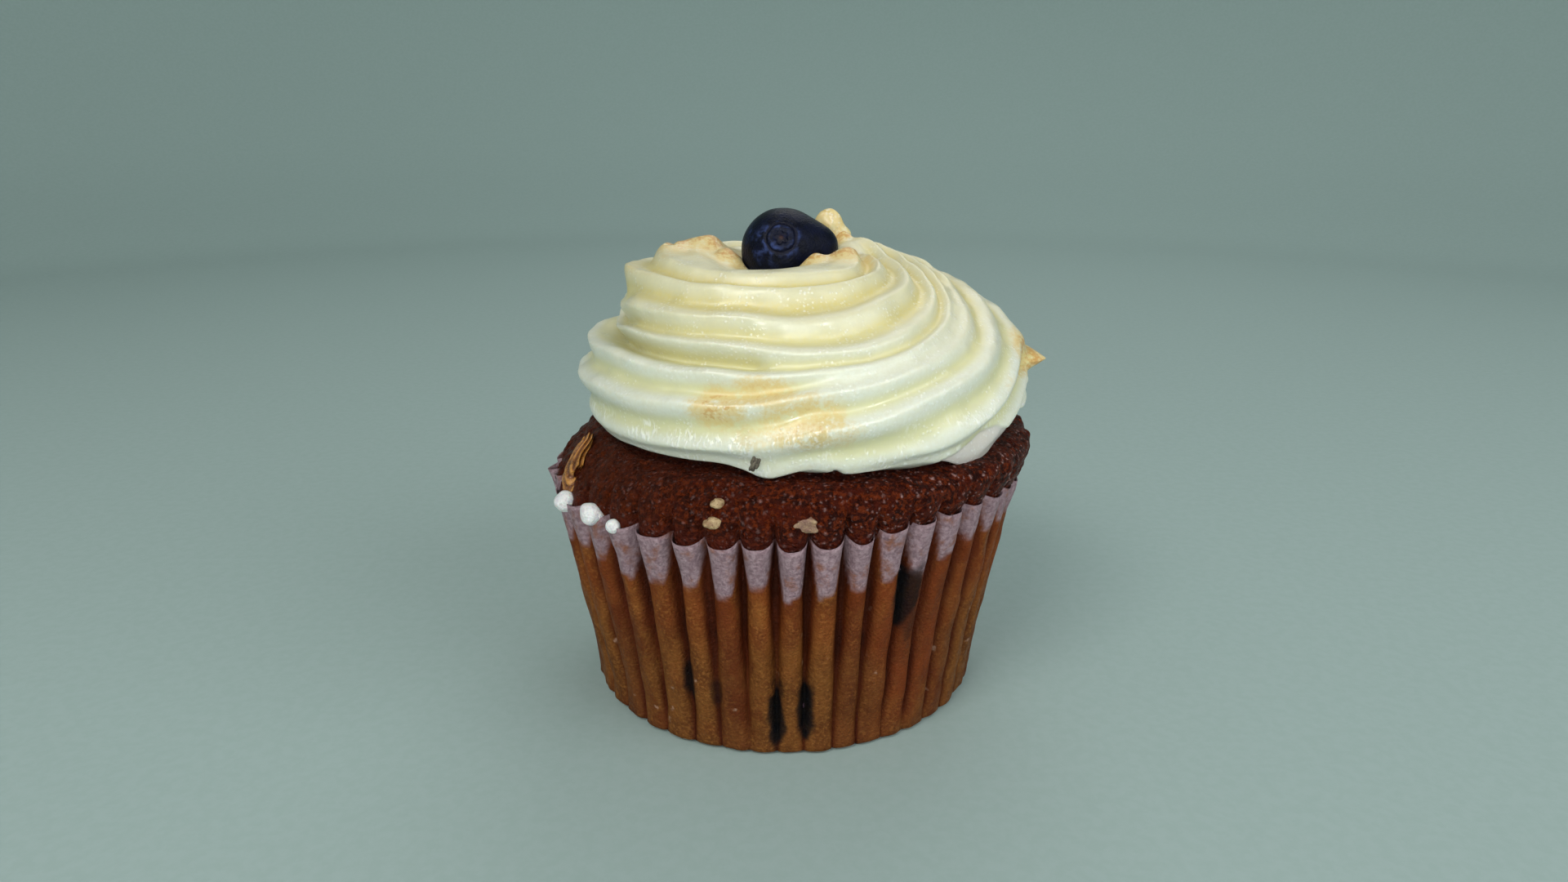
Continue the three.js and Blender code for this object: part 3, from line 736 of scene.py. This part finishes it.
# The pulled-out tip is a cone with a leaning oval foot, and two smaller ones stand under it.
tip_along = turned(around, PEAK_AT) * spot_r
tip_up = up - PEAK_UP
tip_height = np.where(tip_up > 0, 2.5, 1.0) * MM
tip_off = np.hypot((tip_along - 0.5 * tip_up) / (2.4 * MM), (tip_up + 0.3 * tip_along) / tip_height)
swirl_r = swirl_r + PEAK_REACH * np.clip(1 - tip_off / 2.0, 0, 1) ** 1.25
for angle, distance, reach in SMALL_TIPS:
    tip_off = np.hypot(turned(around, np.radians(angle)) * spot_r, up - distance * MM) / (1.0 * MM)
    swirl_r = swirl_r + reach * MM * np.clip(1 - tip_off / 1.8, 0, 1) ** 1.4
edge_angle = (np.degrees(around) - 150) % 360 + 150 + np.linspace(-2, 2, 5)[:, None]
edge_rise = np.interp(edge_angle, *np.transpose(EDGE)).mean(0)
swirl_z = swirl_z + edge_rise * MM * (1 - swell(up / (4 * MM)))
offset = SWIRL_OFFSET * swell((55 * MM - swirl_z) / (10 * MM))
# The inmost turn stands a little higher where it begins, on the -X side.
begins_high = swell((up - 17 * MM) / (3 * MM)) * swell((29 * MM - up) / (5 * MM))
swirl_z = swirl_z + 0.9 * MM * begins_high * bell(turned(around, np.radians(186)), 0.55)
swirl = polar(swirl_r, around, swirl_z)
swirl[..., 0] += offset
on_top = swell((up - 22 * MM) / (4 * MM))
scorch = np.zeros_like(up)
for x, y, rise, spread in CREAM_LUMPS:
    off = np.hypot(swirl[..., 0] - x * MM, swirl[..., 1] - y * MM)
    swirl[..., 2] += rise * MM * bell(off, spread * MM) * on_top
    scorch = np.maximum(scorch, 1.6 * bell(off, 1.6 * spread * MM) * on_top * (spread < 3))
uneven = 0.22 * lumps(swirl, 3.6 * MM, 33) + 0.09 * lumps(swirl, 1.7 * MM, 35)
swirl = swirl + uneven[..., None] * MM * polar(0.7, around, 0.7)
swirl[..., 2] += 0.3 * MM * lumps(swirl, 1.7 * MM, 34) * on_top * swell((11 * MM - swirl_r) / (4 * MM))


def berry_radius(directions):
    """The fresh berry's radius each way: the same all round, but drawn out in a bell towards its +X end."""
    long_end = np.array([0.97, -0.02, 0.1])
    toward = np.clip(directions @ long_end / np.linalg.norm(long_end), -1, 1)
    return (5.2 + 1.7 * np.exp(-((np.arccos(toward) / 0.5) ** 2.2))) * MM


# The berry has pressed its own shape into the cream under it.
nest_off = swirl - BERRY_AT
nest_reach = np.linalg.norm(nest_off, axis=-1)
nest_radius = berry_radius(nest_off / nest_reach[..., None]) + NEST_GAP
pressed = np.maximum(1, nest_radius / nest_reach)
below = nest_off[..., 2] < 1.5 * MM
swirl = np.where((below & (pressed > 1))[..., None], BERRY_AT + nest_off * pressed[..., None], swirl)

# The underside follows the cake's crown.
underside = swirl[0] * np.array([0.25, 0.6, 0.88, 0.965])[:, None, None]
share_out = np.hypot(underside[..., 0], underside[..., 1]) / (28.5 * MM)
underside_rise = CROWN_RISE * (1 - np.clip(share_out, 0, 1) ** 2)
underside[..., 2] = SHOULDER_HEIGHT - FROSTING_SUNK + underside_rise
frosting_rings = np.concatenate([underside, swirl])

for angle, distance, half_width, half_height, strength in SCORCHES:
    sideways = turned(around, np.radians(angle)) * SCORCHED_RADIUS / (half_width * MM)
    upright = (up - distance * MM) / (half_height * MM)
    scorch = np.maximum(scorch, strength * swell(1.3 - 0.8 * np.hypot(sideways, upright)))
crest_tips = bell(turned(around, np.radians(182)), 0.5) * (1 - valley) * swell((up - 15 * MM) / (5 * MM))
scorch = np.maximum(scorch, 0.6 * crest_tips)
# Painted shade: the grooves and the seam between the turns are coloured a yellower cream.
groove = np.maximum(valley**1.2 * fade * inside_lines * faint, 1.2 * seam)


def with_underside(mask):
    """A mask for the swirl's rings, with nothing on the rings underneath."""
    return np.concatenate([np.zeros_like(underside[..., 0]), mask])


frosting = shell(
    "frosting_piped_swirl",
    frosting_rings,
    (underside[0, :, 0].mean(), 0, SHOULDER_HEIGHT - FROSTING_SUNK + CROWN_RISE),
    swirl[-1].mean(0),
    groove=with_underside(groove),
    scorch=with_underside(scorch),
    height_up=with_underside(swell((up - 8 * MM) / (14 * MM))),
    skirt=with_underside((1 - swell((up - 4 * MM) / (2.5 * MM))) * (1 - rope_end)),
    rope_end=with_underside(rope_end),
)

frosting_cream, tree, shader = new_material("frosting")
height_up = mask_of(tree, "height_up")
cream = colour_mix(tree, height_up, rgb(224, 227, 213), rgb(222, 217, 182))
warmer = sums(tree, "MULTIPLY", mottled(tree, 5 * MM, 0.3, 0.8), stretch(tree, height_up, 0, 1, 0.15, 0.5))
cream = colour_mix(tree, warmer, cream, rgb(220, 210, 160))
# The grooves' painted shade: a yellower cream.
deep = colour_mix(tree, height_up, rgb(214, 211, 160), rgb(212, 197, 124))
cream = colour_mix(tree, stretch(tree, mask_of(tree, "groove"), 0.1, 1.0, 0.0, 0.9), cream, deep)
cream = tinted(tree, mottled(tree, 0.5 * MM), 0.3, cream, rgb(210, 206, 176))
cream = tinted(tree, mask_of(tree, "rope_end"), 0.8, cream, rgb(208, 199, 194))
toast = sums(tree, "MULTIPLY", mask_of(tree, "scorch"), mottled(tree, 1.5 * MM, 0.15, 0.6))
toast = sums(tree, "MULTIPLY", toast, stretch(tree, mottled(tree, 0.5 * MM, 0.3, 0.7), 0, 1, 0.7, 1.15))
cream = colour_mix(tree, stretch(tree, toast, 0.05, 0.8, 0.0, 0.75), cream, rgb(219, 192, 120))
cream = colour_mix(tree, stretch(tree, toast, 0.8, 1.5, 0.0, 0.85), cream, rgb(198, 146, 72))
# Painted glints where the cream is wettest: near-white specks in patches, and upright streaks low down.
shine = mottled(tree, 3.5 * MM, 0.44, 0.6, detail=1.0)
grains = sums(tree, "MULTIPLY", speckled(tree, 0.45 * MM, 0.65, 0.5), shine)
dragged = sums(tree, "MULTIPLY", mask_of(tree, "skirt"), mottled(tree, 4 * MM, 0.44, 0.58, detail=1.0))
streaks = sums(tree, "MULTIPLY", mottled(tree, 0.4 * MM, 0.48, 0.66, 0.35, 1.0), dragged)
sparkle = sums(tree, "MAXIMUM", grains, streaks)
# The painted glints, in a near-white colour.
cream = tinted(tree, sparkle, 0.5, cream, rgb(254, 254, 250))
feed(tree, shader, Base_Color=cream, Specular_IOR_Level=0.5, Subsurface_Weight=0.2)
feed(tree, shader, Subsurface_Radius=(1.0, 0.8, 0.5), Subsurface_Scale=0.8 * MM)
feed(tree, shader, Roughness=stretch(tree, sums(tree, "MAXIMUM", shine, dragged), 0, 1, 0.42, 0.28))
bumped(tree, shader, sparkle, 0.04 * MM)
finished(frosting, frosting_cream, "frosting", "frosting_swirl")

# Where the rope was broken off it left a tail: a flattened tongue that curls up behind the berry.
# Its middle line in mm, from the hollow up.
TAIL = [(7.6, 6.3, 54.8), (7.0, 6.1, 56.4), (6.3, 6.0, 57.8), (5.4, 5.9, 59.1), (4.7, 5.8, 60.0)]
TAIL_HALF_WIDTH = 1.9 * MM
TAIL_HALF_DEPTH = 1.1 * MM
along = np.linspace(0, 1, 48)
tail_line = through(TAIL, along) * MM
tail_way = unit(np.gradient(tail_line, axis=0))
tail_depth = np.cross(tail_way, np.cross((0, 1, 0), tail_way))
tail_width = np.cross(tail_depth, tail_way)
spin = whole_turn(56)
ending = np.sqrt(np.clip(1 - ((along - 0.45) / 0.55).clip(0, 1) ** 1.8, 0.003, 1))[:, None, None]
across = tail_width[:, None] * (np.cos(spin) * TAIL_HALF_WIDTH)[:, None]
flattened = TAIL_HALF_DEPTH * (1 - 0.35 * np.cos(spin) ** 2)
across = across + tail_depth[:, None] * (np.sin(spin) * flattened)[:, None]
tail_rings = tail_line[:, None] + across * ending
tail_rings = tail_rings + 0.4 * MM * lumps(tail_rings, 1.4 * MM, 61)[..., None] * across / TAIL_HALF_WIDTH
tail = shell(
    "frosting_tail",
    tail_rings,
    tail_line[0],
    tail_line[-1] + 0.03 * MM * tail_way[-1],
    # A share of the grooves' painted shade, all over the tail.
    groove=0.4,
    scorch=(0.2 + 0.8 * swell(along / 0.8))[:, None],
    height_up=1.0,
    skirt=0.0,
)
finished(tail, frosting_cream, "frosting")

# ---- Crumb caught in the frosting ----
# A dark crumb of crust that the nozzle dragged into the swirl's lower edge. It is a jagged upright grain,
# held by the cream.
CRUMB_HALF_SIZE = np.array([0.34, 0.34, 0.85]) * MM
CRUMB_AT = polar(27.55 * MM, np.radians(263.6), 37.3 * MM)
directions, _ = ball(16, 24)
crumb_points = directions * CRUMB_HALF_SIZE * (1 + 0.9 * lumps(directions, 0.5, 3)[..., None])
crumb_points[..., 0] += 0.35 * crumb_points[..., 2]
crumb = pebble("crust_crumb", crumb_points + CRUMB_AT)
crumb_crust, tree, shader = new_material("crumb_crust")
ash = colour_mix(tree, mottled(tree, 0.4 * MM), rgb(128, 118, 98), rgb(62, 54, 46))
grainy(tree, shader, ash, 0.5 * MM, 0.55, 0.8, 0.25 * MM, 0.15 * MM)
finished(crumb, crumb_crust, "cake_crumb")

# ---- Fresh blueberry ----
# One fresh blueberry, pressed into the hollow with its calyx facing forwards and up. The dusty bloom is
# rubbed off in patches. The calyx is a low five-pointed ring round a shallow crater.
CALYX_TILT = np.radians(25)
# Angles from the calyx's middle to its parts, in radians.
CRATER = 0.16
STAR_LIP = 0.25
RING_GROOVE = 0.355
OUTER_RING = 0.43
calyx_axis = unit(np.array([-0.05, -np.cos(CALYX_TILT), np.sin(CALYX_TILT)]))
calyx_side = unit(np.cross(calyx_axis, (0, 0, 1)))
calyx_frame = np.array([calyx_side, np.cross(calyx_axis, calyx_side), calyx_axis])
rings, from_calyx = ball(150, 220)
spin = np.arctan2(rings[..., 1], rings[..., 0])
directions = rings @ calyx_frame
point_of_star = np.abs(np.cos(2.5 * spin))
ring_lip = bell(from_calyx - (STAR_LIP + 0.045 * point_of_star), 0.05) * (0.5 + 0.5 * point_of_star)
outer_ring = bell(from_calyx - OUTER_RING, 0.06)
ring_groove = bell(from_calyx - RING_GROOVE, 0.035)
crater = swell((CRATER + 0.05 * point_of_star - from_calyx) / 0.07)
pistil = bell(from_calyx, 0.05)
relief = 0.13 * ring_lip + 0.05 * outer_ring - 0.1 * ring_groove - 0.24 * crater + 0.14 * pistil
relief = relief + 0.05 * lumps(directions, 0.35, 51) + 0.03 * lumps(directions, 0.12, 52) * crater
berry_points = BERRY_AT + directions * (berry_radius(directions) + relief * MM)[..., None]
dusty = 0.1 + 0.7 * lumps(directions, 0.42, 53) + 0.45 * lumps(directions, 0.2, 54)
dusty = np.clip(dusty + 0.45 * bell(from_calyx, 0.7), 0, 1)
# Painted shade: the bloom is left off towards the +X end and underneath, which stay darker.
dusty = dusty * swell((0.75 - directions[..., 0]) / 0.5) * swell((directions[..., 2] + 0.75) / 0.7)
berry = pebble(
    "blueberry_fresh",
    berry_points,
    bloom=np.clip(0.75 * dusty + 0.4 * ring_lip + 0.3 * outer_ring, 0, 1) * (1 - 0.8 * ring_groove),
    crater=np.maximum(crater * (1 - 0.7 * ring_lip), ring_groove),
    pistil=pistil,
)
blueberry_skin, tree, shader = new_material("blueberry_skin")
navy = colour_mix(tree, mottled(tree, 1.6 * MM), rgb(5, 8, 20), rgb(12, 17, 38))
# The bloom, with painted shade where it is left off at the +X end and underneath.
dust = sums(tree, "MULTIPLY", mask_of(tree, "bloom"), mottled(tree, 0.9 * MM, 0.28, 0.72))
navy = colour_mix(tree, stretch(tree, dust, 0.15, 0.95, 0.0, 0.75), navy, rgb(60, 76, 128))
navy = tinted(tree, mask_of(tree, "crater"), 0.6, navy, rgb(14, 14, 30))
navy = tinted(tree, mask_of(tree, "pistil"), 0.8, navy, rgb(74, 52, 44))
navy = colour_mix(tree, speckled(tree, 1.5 * MM, 0.16, 0.1), navy, rgb(150, 160, 190))
feed(tree, shader, Base_Color=navy, Roughness=stretch(tree, dust, 0.0, 0.8, 0.3, 0.62))
feed(tree, shader, Specular_IOR_Level=0.08)
bumped(tree, shader, mottled(tree, 0.3 * MM, 0.2, 0.8), 0.04 * MM)
finished(berry, blueberry_skin, "blueberry_skin", "blueberry")

# ---- Icing beads ----
# Drops of white icing that fell on the case's rim and set round its edge, rough like sugar. The middle one
# has run a little to one side.
# Each bead's shift in mm from the middle of its node's box.
BEADS_SETTLED = {"left": (0.1, 0.0, -0.4), "middle": (0.5, -0.2, 0.0), "right": (0.4, -0.1, -0.3)}
icing, tree, shader = new_material("icing")
sugar_white = colour_mix(tree, mottled(tree, 0.8 * MM), rgb(244, 244, 242), rgb(222, 220, 222))
grainy(tree, shader, sugar_white, 0.5 * MM, 0.4, 0.65, 0.3 * MM, 0.12 * MM)
feed(tree, shader, Subsurface_Weight=0.15, Subsurface_Scale=0.6 * MM)
for node in nodes_named("icing_bead"):
    middle, half_size = room_of(node)
    directions, _ = ball(40, 60)
    side_drop = 0.3 * bell(np.linalg.norm(directions - np.array([0.85, -0.1, -0.3]), axis=-1), 0.5)
    drop = 0.96 + 0.1 * lumps(directions, 0.8, len(node)) + side_drop * node.endswith("middle")
    settled = np.array(BEADS_SETTLED[node.split("_")[-1]]) * MM
    bead = pebble(node + "_drop", middle + settled + directions * drop[..., None] * half_size)
    finished(bead, icing, "icing", node)

# ---- Floor, lights and camera ----
# A plain round sweep in pale sage, so that every side has the same quiet ground. Four soft lamps light it
# evenly, and three small ones only glint on what is wet.
FLOOR_COLUMNS = 96
# The sweep's radius and height, from the flat floor up its round wall.
SWEEP = [(0.42, 0.0), (0.50, 0.006), (0.60, 0.045), (0.68, 0.13), (0.72, 0.26), (0.73, 0.5), (0.73, 0.9)]
around = whole_turn(FLOOR_COLUMNS)
sweep_profile = through(SWEEP, np.linspace(0, 1, 40))
sweep_rings = polar(sweep_profile[::-1, :1], around, sweep_profile[::-1, 1:])
sweep_points = np.concatenate([sweep_rings.reshape(-1, 3), [[0, 0, 0]]])
last = len(sweep_points) - 1
disc = fan(FLOOR_COLUMNS, last - FLOOR_COLUMNS, last).tolist()
floor = smooth_object("floor", sweep_points, [*bands(len(sweep_rings), FLOOR_COLUMNS, 0), *disc])
floor_matte, tree, shader = new_material("floor_matte")
sage = colour_mix(tree, mottled(tree, 1.5 * MM), rgb(160, 180, 176), rgb(156, 177, 172))
feed(tree, shader, Base_Color=sage, Roughness=0.9)
floor.data.materials.append(floor_matte)


def lamp(name, place, aim, size, power, colour):
    """A square soft lamp at a place, turned to shine at a point."""
    light = bpy.data.lights.new(name, "AREA")
    light.size = size
    light.energy = power
    light.color = colour
    fixture = bpy.data.objects.new(name, light)
    bpy.context.scene.collection.objects.link(fixture)
    fixture.location = place
    direction = np.array(aim) - np.array(place)
    yaw = np.arctan2(direction[1], direction[0]) - np.pi / 2
    pitch = np.arctan2(direction[2], np.hypot(direction[0], direction[1]))
    fixture.rotation_euler = (pitch + np.pi / 2, 0, yaw)
    return fixture


WHITE = (1.0, 1.0, 1.0)
CAKE_MIDDLE = (0, 0, 0.03)
FROSTING_MIDDLE = (0, 0, 0.04)
lamp("key_lamp", (-0.2, -0.36, 0.46), CAKE_MIDDLE, 0.24, 1.35, (1.0, 0.98, 0.95))
lamp("fill_lamp", (0.4, -0.25, 0.3), CAKE_MIDDLE, 0.4, 1.15, (0.97, 0.98, 1.0))
lamp("front_lamp", (-0.05, -0.52, 0.14), CAKE_MIDDLE, 0.12, 1.0, WHITE)
lamp("back_lamp", (0.1, 0.45, 0.5), FROSTING_MIDDLE, 0.4, 0.8, WHITE)
for place in ((-0.04, -0.5, 0.12), (-0.3, -0.16, 0.42), (0.2, -0.4, 0.3)):
    glint_lamp = lamp("glint_lamp", place, FROSTING_MIDDLE, 0.05, 0.8, WHITE)
    glint_lamp.visible_diffuse = False
world = bpy.data.worlds.new("studio")
world.use_nodes = True
sky = world.node_tree.nodes["Background"]
sky.inputs["Color"].default_value = (0.93, 0.97, 1.0, 1)
sky.inputs["Strength"].default_value = 0.26
bpy.context.scene.world = world

LOOKING_DOWN = np.radians(17.787)  # below the level
view = bpy.data.cameras.new("view")
view.sensor_width = 36
view.lens = 24.44
view.clip_start = 0.005
camera = bpy.data.objects.new("view", view)
bpy.context.scene.collection.objects.link(camera)
camera.location = (0.0, -0.1337, 0.0738)
camera.rotation_euler = (np.pi / 2 - LOOKING_DOWN, 0, 0)
bpy.context.scene.camera = camera
bpy.context.scene.view_settings.view_transform = "Standard"
